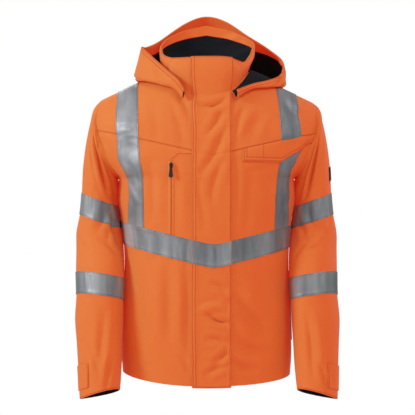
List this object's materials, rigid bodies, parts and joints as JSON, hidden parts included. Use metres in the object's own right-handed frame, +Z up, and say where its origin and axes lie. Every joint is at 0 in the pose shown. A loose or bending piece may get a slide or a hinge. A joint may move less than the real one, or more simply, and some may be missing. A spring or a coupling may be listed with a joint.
{
  "type": "hooded hi-vis work jacket",
  "caption": "Orange hooded work jacket as worn: reflective tapes over the shoulders, body and sleeves, covered front zip, chest zip, flap pocket, high collar and lowered hood.",
  "frame": {"origin": "middle of the base of the neck, between the shoulder seams", "axes": "+Z up, -Y is the front of the jacket, +X is the wearer's left"},
  "size_m": [0.6128, 0.3515, 0.9093],
  "materials": {
    "orange": "matte woven polyester",
    "tape": "retroreflective glass bead tape, satin grey",
    "black_fleece": "matte fleece",
    "black_zip": "woven zip tape",
    "dark_metal": "satin, coated"
  },
  "bodies": {
    "jacket": {"back": "orange", "back_yoke": "orange", "band_back": "tape", "band_flap": "tape", "band_left": "tape", "band_right": "tape", "brace_back_left": "tape", "brace_back_right": "tape", "brace_front_left_high": "tape", "brace_front_left_low": "tape", "brace_front_right": "tape", "chest_zip": "black_zip", "chest_zip_slider": "dark_metal", "collar": "orange", "collar_facing": "orange", "collar_lining": "black_fleece", "cuff_lining_left": "black_fleece", "cuff_lining_right": "black_fleece", "cuff_tab_left": "orange", "cuff_tab_right": "orange", "front_left": "orange", "front_right": "orange", "front_zip": "black_zip", "hood": "orange", "hood_facing": "orange", "hood_lining": "black_fleece", "pocket_flap": "orange", "side_zip_left": "black_zip", "side_zip_right": "black_zip", "sleeve_band_lower_left": "tape", "sleeve_band_lower_right": "tape", "sleeve_band_upper_left": "tape", "sleeve_band_upper_right": "tape", "sleeve_label": "black_zip", "sleeve_left": "orange", "sleeve_right": "orange", "storm_flap": "orange", "yoke_left": "orange", "yoke_right": "orange"},
    "zip_pull": {"chest_zip_pull": "dark_metal"}
  },
  "joints": [
    {"name": "chest_zip_pull_hinge", "type": "hinge", "parent": "jacket", "child": "zip_pull", "pos_m": [-0.07801, -0.14219, -0.17904], "axis": [-0.9921, 0.1252, 0], "range_deg": [0, 150]}
  ]
}
